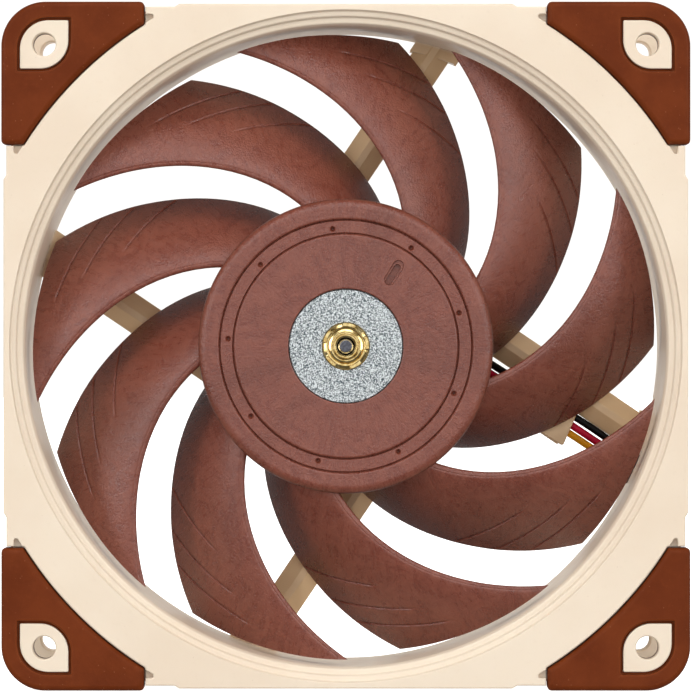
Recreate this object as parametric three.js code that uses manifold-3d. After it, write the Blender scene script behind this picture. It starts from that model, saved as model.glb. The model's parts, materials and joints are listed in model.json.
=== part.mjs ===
// Axial case fan, 120 x 120 x 25 mm, standing on its bottom edge. Millimetres, +Z up.
// Everything but the loose cable is laid out in the fan's own frame: the front face in the
// plane z = 0, the back face at z = -25, X to the right and Y up as seen from the front.
// The fan group turns that frame upright, so the front faces -Y.

import * as THREE from 'three';
import { mergeVertices } from 'three/addons/utils/BufferGeometryUtils.js';
import Module from 'manifold-3d';

const wasm = await Module();
wasm.setup();

// ---- driving dimensions -------------------------------------------------------------
const HALF = 60;              // half the side of the square
const DEPTH = 25;
const HOLE_AT = 52.5;         // mounting holes, 105 mm apart
const HOLE_R = 2.15;
const GAP = 0.3;              // clearance between neighbouring solids
const SEAM = 0.4;             // gap around a pad

const DUCT_R = 56;
const DUCT_OUTER_R = 59.2;
const STEP_R = [57.5, 58.6];  // stepped inlet, inner and outer step
const FACE = 0.35;            // frame face below the pad face
const FLANGE = 4;             // flange thickness
const SIDE_HALF = 59.1;       // frame side next to the pads
const BOSS_HALF = 59.6;       // shallow boss in the middle of each side
const BOSS_REACH = 29;

const PAD_ARC_R = 66.2;       // concave inner edge of a corner pad
const PAD_END = 35.1;         // where a pad's leg ends along the side
const PAD_CORNER_R = 7.75;
const PAD_PLATE = 2.4;        // thickness of the pad over the corner plate
const PAD_SKIRT = 4.6;        // depth of the pad around the outside
const PLATE_TOP = 2.75;       // corner plate below the front plane
const PLATE_HALF = 58.1;
const LEAF_HALF = 4.225;      // leaf shaped boss around each mounting hole
const LEAF_ROUND = 5;

const HUB_R = 25.75;
const HUB_FACE = -1.65;
const HUB_BACK = -19.3;
const HUB_WALL = 1.15;
const HUB_INSIDE = -2.9;      // underside of the hub's face
const DISC_R = 10;            // opening in the hub face that shows the yoke
const TIP_R = 55;
const BLADES = 9;
const BLADE_ROOT_R = 25.1;

const BASE_R = 25.3;          // motor base on the back of the frame
const BASE_INNER_R = 24.2;
const BASE_RIM = -20.3;
const FLOOR_TOP = -22.8;
const FLOOR_BACK = -23.8;
const LABEL_R = 22.3;
const TUBE_R = [4.9, 6.4];    // bearing tube in the middle of the base, inner and outer
const TUBE_TOP = -15;
const TUBE_FLOOR = -23.2;

const STRUT_OFFSET = 16.4;    // a strut's line passes the fan's axis at this distance
const STRUT_HALF = 3.2;
const STRUT_RIDGE = -20.4;
const STRUT_ANGLES = [56, 146, 236, 326];
const STRUT_FROM = 14.8;      // where a strut starts and ends along its line
const STRUT_TO = 55;
const ROOT = { from: 50, to: 56.4, inside: 54.1, overhang: 1, top: -19.9 };

const WIRE_STRUT = 326;       // the strut that carries the wires
const WIRE_R = 0.55;
const WIRE_PITCH = 1.4;
const WIRE_Z = -22;
const WIRE_EDGE = 7.9;        // outer side of the wires' way through the frame
const TAB = { from: 33.6, to: 42.2, tip: 6.6, top: -20.3, thick: 0.85, lip: -23.6 };

const YOKE_R = HUB_R - HUB_WALL - GAP;
const SHAFT_R = 1.3;
const BORE_R = SHAFT_R + GAP;
const BUSHING_R = 4.1;

const STATOR_LOW = -17;
const STATOR_HIGH = -9;
const CORE_INSET = 1.5;       // from the coils' ends to the core's faces
const CORE_R = [6.7, 9];      // inner and outer radius of the core's ring
const ARM_HALF = 2.2;
const POLE_R = [19.2, 21.4];
const COIL = { from: 10, to: 18.4, half: 5.2 };

const BOARD_R = [6.8, 20.5];
const BOARD_TOP = -21;
const BOARD_THICK = 1.2;
const PART_TOP = [-19.2, -19.1];  // tops of the driver chip and the capacitor

const CABLE_R = 1.7;          // sleeved three-wire lead
const BOOT = { from: 54.6, to: 60.1, low: 8.2, high: 13.6, top: -20.75 };

const DUCT_SEGMENTS = 60;
const HUB_SEGMENTS = 45;
const FLANGE_SEGMENTS = 15;   // each arc of an outline gets twice these
const ARC_SEGMENTS = 4;

// ---- solids -------------------------------------------------------------------------
const rad = THREE.MathUtils.degToRad;

function toSolid(geometry) {
  let g = geometry.index ? geometry.toNonIndexed() : geometry;
  g = g.clone();
  g.deleteAttribute('normal');
  g.deleteAttribute('uv');
  g = mergeVertices(g, 1e-4);
  const index = Uint32Array.from(g.index.array);
  const p = g.attributes.position.array;
  let volume = 0;
  for (let i = 0; i < index.length; i += 3) {
    const [a, b, c] = [index[i] * 3, index[i + 1] * 3, index[i + 2] * 3];
    volume += p[a] * (p[b + 1] * p[c + 2] - p[b + 2] * p[c + 1])
      - p[a + 1] * (p[b] * p[c + 2] - p[b + 2] * p[c])
      + p[a + 2] * (p[b] * p[c + 1] - p[b + 1] * p[c]);
  }
  if (volume < 0) {
    for (let i = 0; i < index.length; i += 3) {
      [index[i + 1], index[i + 2]] = [index[i + 2], index[i + 1]];
    }
  }
  return new wasm.Manifold(new wasm.Mesh({
    numProp: 3, vertProperties: Float32Array.from(p), triVerts: index }));
}

function toGeometry(solid) {
  const mesh = solid.getMesh();
  const points = new Float32Array(mesh.numVert * 3);
  for (let i = 0; i < mesh.numVert; i++) {
    for (let k = 0; k < 3; k++) points[i * 3 + k] = mesh.vertProperties[i * mesh.numProp + k];
  }
  const g = new THREE.BufferGeometry();
  g.setAttribute('position', new THREE.BufferAttribute(points, 3));
  g.setIndex(new THREE.BufferAttribute(Uint32Array.from(mesh.triVerts), 1));
  g.computeVertexNormals();
  return g;
}

// A closed profile of [radius, z] points turned about the fan's axis.
function turned(profile, segments) {
  const points = [...profile, profile[0]].map(([r, z]) => new THREE.Vector2(r, z));
  const g = new THREE.LatheGeometry(points, segments);
  g.rotateX(Math.PI / 2);
  return toSolid(g);
}

const ringSolid = (inner, outer, low, high, segments) =>
  turned([[inner, low], [outer, low], [outer, high], [inner, high]], segments);

function discSolid(radius, low, high, segments, x = 0, y = 0) {
  const g = new THREE.CylinderGeometry(radius, radius, high - low, segments);
  g.rotateX(Math.PI / 2);
  g.translate(x, y, (low + high) / 2);
  return toSolid(g);
}

function extruded(shape, low, high, curveSegments = ARC_SEGMENTS) {
  const g = new THREE.ExtrudeGeometry(shape,
    { depth: high - low, bevelEnabled: false, curveSegments });
  g.translate(0, 0, low);
  return toSolid(g);
}

// A box given by its limits in the fan frame, turned about the axis by an angle in degrees.
function boxSolid(x0, x1, y0, y1, z0, z1, angle = 0) {
  const g = new THREE.BoxGeometry(x1 - x0, y1 - y0, z1 - z0);
  g.translate((x0 + x1) / 2, (y0 + y1) / 2, (z0 + z1) / 2);
  g.rotateZ(rad(angle));
  return toSolid(g);
}

const joined = (solids) => solids.reduce((sum, next) => sum.add(next));
const spun = (solid, angle) => solid.rotate([0, 0, angle]);
const mirroredBack = (solid) => solid.mirror([0, 0, 1]).translate([0, 0, -DEPTH]);
const fourWays = (solid) => [0, 90, 180, 270].map((angle) => spun(solid, angle));

// ---- outlines -----------------------------------------------------------------------
// Corner pad outline in the quadrant +X +Y, grown outwards by `grow`.
function padOutline(grow) {
  const arc = PAD_ARC_R - grow;
  const end = PAD_END - grow;
  const out = HALF + grow;
  const endY = Math.sqrt(arc * arc - end * end);
  const from = Math.atan2(endY, end);
  const shape = new THREE.Shape();
  shape.moveTo(end, endY);
  shape.lineTo(end, out);
  shape.lineTo(HALF - PAD_CORNER_R, out);
  shape.absarc(HALF - PAD_CORNER_R, HALF - PAD_CORNER_R, PAD_CORNER_R + grow,
    Math.PI / 2, 0, true);
  shape.lineTo(out, end);
  shape.lineTo(endY, end);
  shape.absarc(0, 0, arc, Math.PI / 2 - from, from, false);
  return shape;
}

// Leaf around the mounting hole in the quadrant +X +Y: the corners towards the fan's axis
// and away from it are round, the other two are sharp.
function leafOutline(grow) {
  const h = LEAF_HALF + grow;
  const r = LEAF_ROUND + grow;
  const [c, low, high] = [HOLE_AT, HOLE_AT - h, HOLE_AT + h];
  const shape = new THREE.Shape();
  shape.moveTo(low, high);
  shape.lineTo(low, low + r);
  shape.absarc(low + r, low + r, r, Math.PI, Math.PI * 1.5, false);
  shape.lineTo(high, low);
  shape.lineTo(high, high - r);
  shape.absarc(high - r, high - r, r, 0, Math.PI / 2, false);
  shape.lineTo(Math.min(c, high - r), high);
  return shape;
}

// Square flange with a shallow boss in the middle of each side.
function flangeOutline() {
  const shape = new THREE.Shape();
  const corner = 6;
  for (let side = 0; side < 4; side++) {
    const at = (x, y) => {
      const p = new THREE.Vector2(x, y).rotateAround(new THREE.Vector2(), side * Math.PI / 2);
      return [p.x, p.y];
    };
    const start = at(SIDE_HALF, -SIDE_HALF + corner);
    if (side === 0) shape.moveTo(...start);
    else shape.lineTo(...start);
    shape.lineTo(...at(SIDE_HALF, -BOSS_REACH - 1));
    shape.lineTo(...at(BOSS_HALF, -BOSS_REACH));
    shape.lineTo(...at(BOSS_HALF, BOSS_REACH));
    shape.lineTo(...at(SIDE_HALF, BOSS_REACH + 1));
    shape.lineTo(...at(SIDE_HALF, SIDE_HALF - corner));
    const [cx, cy] = at(SIDE_HALF - corner, SIDE_HALF - corner);
    shape.absarc(cx, cy, corner, side * Math.PI / 2, (side + 1) * Math.PI / 2, false);
  }
  return shape;
}

// ---- frame --------------------------------------------------------------------------
function flange() {
  const outline = flangeOutline();
  const hole = new THREE.Path();
  hole.absarc(0, 0, DUCT_OUTER_R - GAP, 0, Math.PI * 2, true);
  outline.holes.push(hole);
  let solid = extruded(outline, -FACE - FLANGE, -FACE, FLANGE_SEGMENTS);

  const plate = new THREE.Shape();
  const inset = HALF - PLATE_HALF;
  plate.moveTo(0, 0);
  plate.lineTo(PLATE_HALF, 0);
  plate.lineTo(PLATE_HALF, HALF - PAD_CORNER_R);
  plate.absarc(HALF - PAD_CORNER_R, HALF - PAD_CORNER_R, PAD_CORNER_R - inset,
    0, Math.PI / 2, false);
  plate.lineTo(0, PLATE_HALF);
  const pocket = extruded(padOutline(SEAM), -PLATE_TOP, 1);
  const around = extruded(padOutline(SEAM), -FACE - FLANGE - 1, 1)
    .subtract(extruded(plate, -FACE - FLANGE - 2, 2));
  const leaf = extruded(leafOutline(0), -PLATE_TOP - 0.5, -FACE);
  solid = solid.subtract(joined(fourWays(pocket))).subtract(joined(fourWays(around)));
  solid = solid.add(joined(fourWays(leaf)));
  const holes = fourWays(discSolid(HOLE_R, -FACE - FLANGE - 1, 1, 14, HOLE_AT, HOLE_AT));
  return solid.subtract(joined(holes));
}

function duct() {
  const back = -DEPTH + FACE;
  return turned([
    [DUCT_R, back], [DUCT_OUTER_R, back], [DUCT_OUTER_R, -FACE],
    [STEP_R[1], -FACE], [STEP_R[1] - 0.1, -1.2], [STEP_R[0], -1.3],
    [STEP_R[0] - 0.1, -2.1], [DUCT_R + 0.3, -2.3], [DUCT_R, -3],
  ], DUCT_SEGMENTS);
}

// Point on a strut's frame: s along it, n from the fan's axis towards its left side.
function strutPoint(angle, s, n, z) {
  const d = rad(angle);
  return new THREE.Vector3(
    s * Math.cos(d) - n * Math.sin(d), s * Math.sin(d) + n * Math.cos(d), z);
}

function struts() {
  const [low, high] = [STRUT_OFFSET - STRUT_HALF, STRUT_OFFSET + STRUT_HALF];
  const back = -DEPTH + FACE;
  const section = new THREE.Shape([
    [low, back], [high, back], [high, -22.6], [STRUT_OFFSET + 0.6, STRUT_RIDGE],
    [STRUT_OFFSET - 0.6, STRUT_RIDGE], [low, -22.1]].map((p) => new THREE.Vector2(...p)));
  const g = new THREE.ExtrudeGeometry(section,
    { depth: STRUT_TO - STRUT_FROM, bevelEnabled: false });
  // The section's plane is turned to stand across the strut, which then runs along X.
  g.applyMatrix4(new THREE.Matrix4().makeBasis(
    new THREE.Vector3(0, 1, 0), new THREE.Vector3(0, 0, 1), new THREE.Vector3(1, 0, 0)));
  g.translate(STRUT_FROM, 0, 0);
  const bar = toSolid(g);
  const root = boxSolid(ROOT.from, ROOT.to, low - ROOT.overhang, high + ROOT.overhang,
    back, ROOT.top).subtract(discSolid(ROOT.inside, back - 1, 0, DUCT_SEGMENTS));
  const clear = discSolid(BASE_INNER_R, FLOOR_BACK + 0.2, 0, HUB_SEGMENTS)
    .add(discSolid(LABEL_R + GAP, -DEPTH - 1, FLOOR_BACK, HUB_SEGMENTS));
  const strut = bar.add(root).subtract(clear);
  return joined(STRUT_ANGLES.map((angle) => spun(strut, angle)));
}

function motorBase() {
  const back = -DEPTH + FACE;
  return turned([
    [0, FLOOR_BACK], [LABEL_R + GAP, FLOOR_BACK], [LABEL_R + GAP, back], [BASE_R, back],
    [BASE_R, BASE_RIM], [BASE_INNER_R, BASE_RIM], [BASE_INNER_R, FLOOR_TOP],
    [TUBE_R[1], FLOOR_TOP], [TUBE_R[1], TUBE_TOP], [TUBE_R[0], TUBE_TOP],
    [TUBE_R[0], TUBE_FLOOR], [0, TUBE_FLOOR],
  ], HUB_SEGMENTS);
}

// Tab that holds the wires down beside their strut.
function wireTab() {
  const { from, to, tip } = TAB;
  const held = STRUT_OFFSET - STRUT_HALF + 2.4;
  const shape = new THREE.Shape([[from, held], [from, tip + 0.6], [from + 0.6, tip],
    [to, tip + 0.3], [to - 1.6, held]].map((p) => new THREE.Vector2(...p)));
  const top = extruded(shape, TAB.top - TAB.thick, TAB.top);
  const lip = boxSolid(from + 0.6, to - 1, tip + 0.1, tip + 1, TAB.lip, TAB.top - 0.7);
  return spun(top.add(lip), WIRE_STRUT);
}

function frameSolid() {
  const front = flange();
  const back = mirroredBack(front);
  const solid = joined([duct(), front, back, struts(), motorBase(), wireTab()]);
  const cuts = [
    [53.6, 60.4, WIRE_EDGE, 13.9, -DEPTH - 1, -20.4],    // notch that holds the boot
    [18, 26, WIRE_EDGE, 12.7, -22.35, -20],              // slot in the base's rim
    [49, 55, WIRE_EDGE, 13.05, -23, -19],                // lane beside the strut's root
  ].map((limits) => boxSolid(...limits, WIRE_STRUT));
  return solid.subtract(joined(cuts));
}

// ---- pads ---------------------------------------------------------------------------
function padSolid() {
  const plate = extruded(padOutline(0), -PAD_SKIRT, 0);
  const inner = HALF - PLATE_HALF - GAP;
  const hollow = new THREE.Shape();
  const r = PAD_CORNER_R - inner;
  const near = 20;
  hollow.moveTo(near, near);
  hollow.lineTo(HALF - inner, near);
  hollow.lineTo(HALF - inner, HALF - PAD_CORNER_R);
  hollow.absarc(HALF - PAD_CORNER_R, HALF - PAD_CORNER_R, r, 0, Math.PI / 2, false);
  hollow.lineTo(near, HALF - inner);
  return plate
    .subtract(extruded(hollow, -PAD_SKIRT - 1, -PAD_PLATE))
    .subtract(extruded(leafOutline(SEAM), -PAD_SKIRT - 1, 1));
}

// ---- impeller -----------------------------------------------------------------------
function hub() {
  const inner = HUB_R - HUB_WALL;
  return turned([
    [DISC_R, HUB_INSIDE], [DISC_R, HUB_FACE - 0.25], [DISC_R + 0.25, HUB_FACE],
    [19.5, HUB_FACE], [19.65, HUB_FACE - 0.2], [22.05, HUB_FACE - 0.2], [22.2, HUB_FACE],
    [24.2, HUB_FACE], [25.2, HUB_FACE - 0.4], [HUB_R, HUB_FACE - 1.45],
    [HUB_R, HUB_BACK], [inner, HUB_BACK], [inner, HUB_INSIDE],
  ], HUB_SEGMENTS);
}

// Leading and trailing edge of a blade at radius r: angle in degrees and depth.
const leadingAngle = (r) => -10.6 + 1.4713 * r;
const trailingAngle = (r) =>
  39.3 + 1.395 * (r - 54.4) - 2.04 * (Math.max(0, 44 - r) / 13.66) ** 2;
const leadingZ = (r) => THREE.MathUtils.mapLinear(r, BLADE_ROOT_R, TIP_R, -3.6, -6.5);
const trailingZ = (r) => THREE.MathUtils.mapLinear(r, BLADE_ROOT_R, TIP_R, -18.6, -19.4);
const bladeThickness = (r) => THREE.MathUtils.mapLinear(r, BLADE_ROOT_R, TIP_R, 2.6, 1.9);

// Half thickness of the blade section over the share c of the chord, for thickness 1.
const halfThickness = (c) => 0.1 + 5 * (0.2969 * Math.sqrt(c) - 0.126 * c
  - 0.3516 * c ** 2 + 0.2843 * c ** 3 - 0.1036 * c ** 4) * (1 - 0.1 * c);

function bladeSection(r) {
  const camber = 0.07;
  const shares = [0.03, 0.12, 0.3, 0.55, 0.8, 1];
  const arc = r * rad(leadingAngle(r) - trailingAngle(r));
  const drop = leadingZ(r) - trailingZ(r);
  const chord = Math.hypot(arc, drop);
  const point = (c, side) => {
    const lift = camber * chord * 4 * c * (1 - c)
      + side * bladeThickness(r) * halfThickness(c);
    const along = rad(leadingAngle(r)) - (arc * c + drop / chord * lift) / r;
    const z = leadingZ(r) - drop * c + arc / chord * lift;
    return new THREE.Vector3(r * Math.cos(along), r * Math.sin(along), z);
  };
  return [point(0, 0), ...shares.map((c) => point(c, 1)),
    ...shares.toReversed().map((c) => point(c, -1))];
}

function bladeSolid() {
  const steps = 9;
  const rows = [];
  for (let i = 0; i <= steps; i++) {
    rows.push(bladeSection(THREE.MathUtils.lerp(BLADE_ROOT_R, TIP_R, i / steps)));
  }
  const count = rows[0].length;
  const triangles = [];
  const add = (...points) => points.forEach((p) => triangles.push(p.x, p.y, p.z));
  for (let i = 0; i < steps; i++) {
    for (let j = 0; j < count; j++) {
      const k = (j + 1) % count;
      add(rows[i][j], rows[i][k], rows[i + 1][k]);
      add(rows[i][j], rows[i + 1][k], rows[i + 1][j]);
    }
  }
  // The caps join each front point to the back point of the same share of the chord.
  for (const [row, flip] of [[rows[0], false], [rows[steps], true]]) {
    for (let j = 0; j < (count - 1) / 2; j++) {
      const [a, b] = [row[j], row[j + 1]];
      const [c, d] = [row[(count - j) % count], row[count - 1 - j]];
      if (j > 0) add(...(flip ? [a, b, c] : [b, a, c]));
      add(...(flip ? [b, d, c] : [d, b, c]));
    }
  }
  const g = new THREE.BufferGeometry();
  g.setAttribute('position', new THREE.Float32BufferAttribute(triangles, 3));
  return toSolid(g);
}

function impellerSolid() {
  const blade = bladeSolid();
  const solids = [hub()];
  for (let i = 0; i < BLADES; i++) solids.push(spun(blade, i * 360 / BLADES));
  return joined(solids);
}

// ---- rotor and bearing --------------------------------------------------------------
const yokeSolid = () => turned([
  [4.4, -3.1], [4.4, -2.05], [9.6, -2.05], [9.7, -3.2], [YOKE_R - 0.6, -3.2],
  [YOKE_R, -3.8], [YOKE_R, -18.5], [YOKE_R - 0.9, -18.5], [YOKE_R - 0.9, -4.2], [9, -4.2],
  [8.6, -3.1],
], 32);

const magnetSolid = () => ringSolid(YOKE_R - 2.4, YOKE_R - 1.2, -18.2, -5.2, 32);

const bushingSolid = () => turned([
  [BORE_R, -6.6], [BUSHING_R, -6.6], [BUSHING_R, -1.75], [BUSHING_R - 0.4, -1.35],
  [3.3, -1.35], [3.2, -1.6], [2.6, -1.6], [2.4, -1.2], [BORE_R + 0.2, -1.2],
  [BORE_R, -1.5],
], 18);

const shaftSolid = () => turned([
  [0, -22], [0.9, -22], [SHAFT_R, -21.6], [SHAFT_R, -20.3], [0.9, -20.2],
  [0.9, -19.6], [SHAFT_R, -19.5], [SHAFT_R, -1.7], [1, -1.4], [0, -1.4],
], 14);

const bearingShell = () => turned([
  [3.7, -21.5], [4.6, -21.5], [4.6, -7.2], [3.7, -7.2]], 28);

const bearingSleeve = () => ringSolid(BORE_R, 3.4, -19.1, -8.2, 24);

// ---- stator -------------------------------------------------------------------------
function statorCore() {
  const low = STATOR_LOW + CORE_INSET;
  const high = STATOR_HIGH - CORE_INSET;
  const ring = ringSolid(...CORE_R, low, high, 32);
  const arm = boxSolid(CORE_R[1] - 0.5, POLE_R[0] + 0.4, -ARM_HALF, ARM_HALF, low, high);
  const shoe = ringSolid(...POLE_R, low, high, 64)
    .intersect(extruded(new THREE.Shape([[0, 0], [30, -19], [30, 19]]
      .map((p) => new THREE.Vector2(...p))), low - 1, high + 1));
  return joined([ring, ...fourWays(arm.add(shoe))]);
}

// Insulating bobbin half: a plate over the core with its own four arms.
function insulator(low, high) {
  const ring = ringSolid(CORE_R[0], CORE_R[1] + 0.4, low, high, 32);
  const arm = boxSolid(CORE_R[1] - 0.2, POLE_R[0] - 0.2, -ARM_HALF, ARM_HALF, low, high);
  return joined([ring, ...fourWays(arm)]);
}

function coilSolid(angle) {
  const { from, to, half } = COIL;
  const hole = ARM_HALF + GAP;
  const outer = boxSolid(from, to, -half, half, STATOR_LOW - 1, STATOR_HIGH + 1);
  const inner = boxSolid(from - 1, to + 1, -hole, hole, STATOR_LOW + GAP, STATOR_HIGH - GAP);
  return spun(outer.subtract(inner), angle);
}

// ---- electronics and wires ----------------------------------------------------------
function boardSolid() {
  return ringSolid(...BOARD_R, BOARD_TOP - BOARD_THICK, BOARD_TOP, 40);
}

// One of the three wires: from its solder point on the board, out over the base's rim,
// along the strut and into the boot. `lane` is 0 beside the strut and 2 away from it.
function wireSolid(lane) {
  const shift = lane * WIRE_PITCH;
  const route = [[13.5, 11.5, BOARD_TOP + 0.85], [17, 11.55, BOARD_TOP + 0.85],
    [20.5, 11.6, -20.2], [23, 11.65, -20.6], [26, 11.75, -21.4], [30, 11.9, -21.95],
    [35, 12.05, WIRE_Z], [44, 12.2, WIRE_Z], [50, 12.2, WIRE_Z], [54.3, 12.2, WIRE_Z]];
  const path = new THREE.CatmullRomCurve3(
    route.map(([s, n, z]) => strutPoint(WIRE_STRUT, s, n - shift, z)));
  const section = new THREE.Shape();
  section.absarc(0, 0, WIRE_R, 0, Math.PI * 2, false);
  const g = new THREE.ExtrudeGeometry(section,
    { steps: 14, curveSegments: 4, extrudePath: path });
  return toSolid(g);
}

const bootSolid = () => boxSolid(BOOT.from, BOOT.to, BOOT.low, BOOT.high,
  -DEPTH + 0.1, BOOT.top, WIRE_STRUT);

// ---- loose cable --------------------------------------------------------------------
// The lead leaves the boot towards the back, drops to the surface and lies in a flat hank
// close behind the fan. These points are in the part's own frame.
const CABLE_ROUTE = [
  [53.8, 12.7, 36.9], [54, 15, 36.9], [54.5, 18.1, 36.3], [55, 20.7, 34.6],
  [55.4, 22.4, 32], [55.6, 23, 28.9], [55.6, 22.8, 24.6], [55.2, 22, 20.6],
  [54, 21, 16.8], [52, 20.2, 13.6], [49.6, 19.5, 10.8], [47.1, 18.9, 8],
].map((p) => new THREE.Vector3(...p));

const HANK_LEFT = 26.1;       // centre of the hank's left fold along X
const HANK_RIGHT = 46;        // centre of its right end
const HANK_MID_Y = 30.2;
const HANK_HALF = 13.6;       // half the hank's width
const HANK_HEIGHT = 3.5;
const TIE = { x: 32.5, length: 3, width: 8, thick: 0.8 };
const PLUG = { x: 35, y: 36, length: 13, width: 8, height: 6, pitch: 2.54 };
const CAVITY = { half: 0.95, low: 1.6, high: 4.4 };

function cableTube() {
  const section = new THREE.Shape();
  section.absarc(0, 0, CABLE_R, 0, Math.PI * 2, false);
  return toSolid(new THREE.ExtrudeGeometry(section,
    { steps: 18, curveSegments: 4, extrudePath: new THREE.CatmullRomCurve3(CABLE_ROUTE) }));
}

// The hank's outer shape, open in the middle where the connector lies.
function hankSolid() {
  const half = PLUG.width / 2 + GAP;
  const middle = boxSolid(PLUG.x - 1.2, PLUG.x + PLUG.length + 1,
    PLUG.y - half - 4, PLUG.y + half, -1, HANK_HEIGHT + 1);
  const outer = new THREE.Shape();
  outer.absarc(HANK_RIGHT, HANK_MID_Y, HANK_HALF, -Math.PI / 2, Math.PI / 2, false);
  outer.absarc(HANK_LEFT, HANK_MID_Y, HANK_HALF, Math.PI / 2, Math.PI * 1.5, false);
  return extruded(outer, 0, HANK_HEIGHT, 8).subtract(middle);
}

// Tie over the two runs that lie side by side at the front of the hank.
function tieSolid() {
  const front = HANK_MID_Y - HANK_HALF - 0.2;
  const low = HANK_HEIGHT + GAP;
  return boxSolid(TIE.x, TIE.x + TIE.length, front, front + TIE.width, low, low + TIE.thick);
}

// Housing of the three-pin connector, with an open cavity for each terminal.
function connectorSolid() {
  const half = PLUG.width / 2;
  const end = PLUG.x + PLUG.length;
  const block = boxSolid(PLUG.x, end, PLUG.y - half, PLUG.y + half, 0, PLUG.height);
  return block.subtract(joined(terminalRows().map((y) => boxSolid(
    PLUG.x - 1, end + 1, y - CAVITY.half, y + CAVITY.half, CAVITY.low, CAVITY.high))));
}

const terminalRows = () => [-1, 0, 1].map((i) => PLUG.y + i * PLUG.pitch);

function terminalSolid(y) {
  const half = CAVITY.half - 0.35;
  return boxSolid(PLUG.x + 4.5, PLUG.x + PLUG.length - 1, y - half, y + half,
    CAVITY.low + 0.35, CAVITY.high - 0.35);
}

// ---- scene --------------------------------------------------------------------------
const LOOK = {
  frame: [0xe6d3ba, 0.5, 0], pad: [0x6b2c18, 0.75, 0], impeller: [0x6e3a2c, 0.45, 0],
  steel: [0xb9c1c2, 0.5, 0.9], brass: [0xc99a3f, 0.3, 1], magnet: [0x3a3836, 0.8, 0],
  copper: [0xb5622d, 0.35, 0.9], nylon: [0xe9e6dc, 0.6, 0], board: [0x1f5a34, 0.5, 0],
  black: [0x0b0b0c, 0.5, 0], red: [0xb01536, 0.5, 0], yellow: [0xd09a18, 0.5, 0],
  label: [0xd9cfbf, 0.6, 0], laminate: [0x8d9296, 0.45, 0.8],
};

const fan = new THREE.Group();
fan.rotation.x = Math.PI / 2;
fan.position.set(0, -DEPTH / 2, HALF);
const part = new THREE.Group();
part.add(fan);

function place(group, name, solid, look) {
  const [color, roughness, metalness] = LOOK[look];
  const mesh = new THREE.Mesh(toGeometry(solid),
    new THREE.MeshStandardMaterial({ color, roughness, metalness }));
  mesh.name = name;
  group.add(mesh);
}

place(fan, 'frame', frameSolid(), 'frame');
const CORNERS = ['top_right', 'top_left', 'bottom_left', 'bottom_right'];
CORNERS.forEach((corner, i) => {
  const pad = spun(padSolid(), i * 90);
  place(fan, `front_pad_${corner}`, pad, 'pad');
  place(fan, `back_pad_${corner}`, mirroredBack(pad), 'pad');
});

place(fan, 'impeller', impellerSolid(), 'impeller');
place(fan, 'rotor_yoke', yokeSolid(), 'steel');
place(fan, 'magnet_ring', magnetSolid(), 'magnet');
place(fan, 'shaft_bushing', bushingSolid(), 'brass');
place(fan, 'shaft', shaftSolid(), 'steel');

place(fan, 'bearing_shell', bearingShell(), 'brass');
place(fan, 'bearing_sleeve', bearingSleeve(), 'copper');
place(fan, 'oil_seal', ringSolid(1.7, 3.3, -7.9, -7.3, 20), 'nylon');
place(fan, 'retaining_clip', ringSolid(1.2, 3, -20.1, -19.7, 20), 'black');
place(fan, 'thrust_pad', discSolid(3.3, -22.9, -22.3, 20), 'nylon');

place(fan, 'stator_core', statorCore(), 'laminate');
place(fan, 'upper_insulator', insulator(STATOR_HIGH - 1.2, STATOR_HIGH - 0.6), 'nylon');
place(fan, 'lower_insulator', insulator(STATOR_LOW + 0.6, STATOR_LOW + 1.2), 'nylon');
[0, 90, 180, 270].forEach((angle, i) => {
  place(fan, `coil_${i + 1}`, coilSolid(angle), 'copper');
});

place(fan, 'circuit_board', boardSolid(), 'board');
place(fan, 'driver_chip', boxSolid(-15.5, -11.5, 8, 13, BOARD_TOP + GAP, PART_TOP[0]), 'black');
place(fan, 'capacitor', boxSolid(-3, 1, 13.5, 17, BOARD_TOP + GAP, PART_TOP[1]), 'nylon');
place(fan, 'back_label', discSolid(LABEL_R, -DEPTH + 0.45, FLOOR_BACK - GAP, 48), 'label');
['black', 'red', 'yellow'].forEach((name, lane) => {
  place(fan, `wire_${name}`, wireSolid(lane), name);
});
place(fan, 'cable_boot', bootSolid(), 'black');

place(part, 'cable_sleeve', cableTube(), 'black');
place(part, 'cable_hank', hankSolid(), 'black');
place(part, 'cable_tie', tieSolid(), 'black');
place(part, 'connector', connectorSolid(), 'black');
terminalRows().forEach((y, i) => {
  place(part, `crimp_terminal_${i + 1}`, terminalSolid(y), 'steel');
});

export default part;
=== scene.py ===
"""The looks of the case fan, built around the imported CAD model. Metres, the front faces -Y.

Shapes are laid out in the fan's own millimetres: u to the right and v up from the fan's axis
as seen from the front, and t towards the viewer, with t = 0 in the plane of the pads' faces.
"""

import json
import math

import bmesh
import bpy
from mathutils import Matrix, Vector


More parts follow.
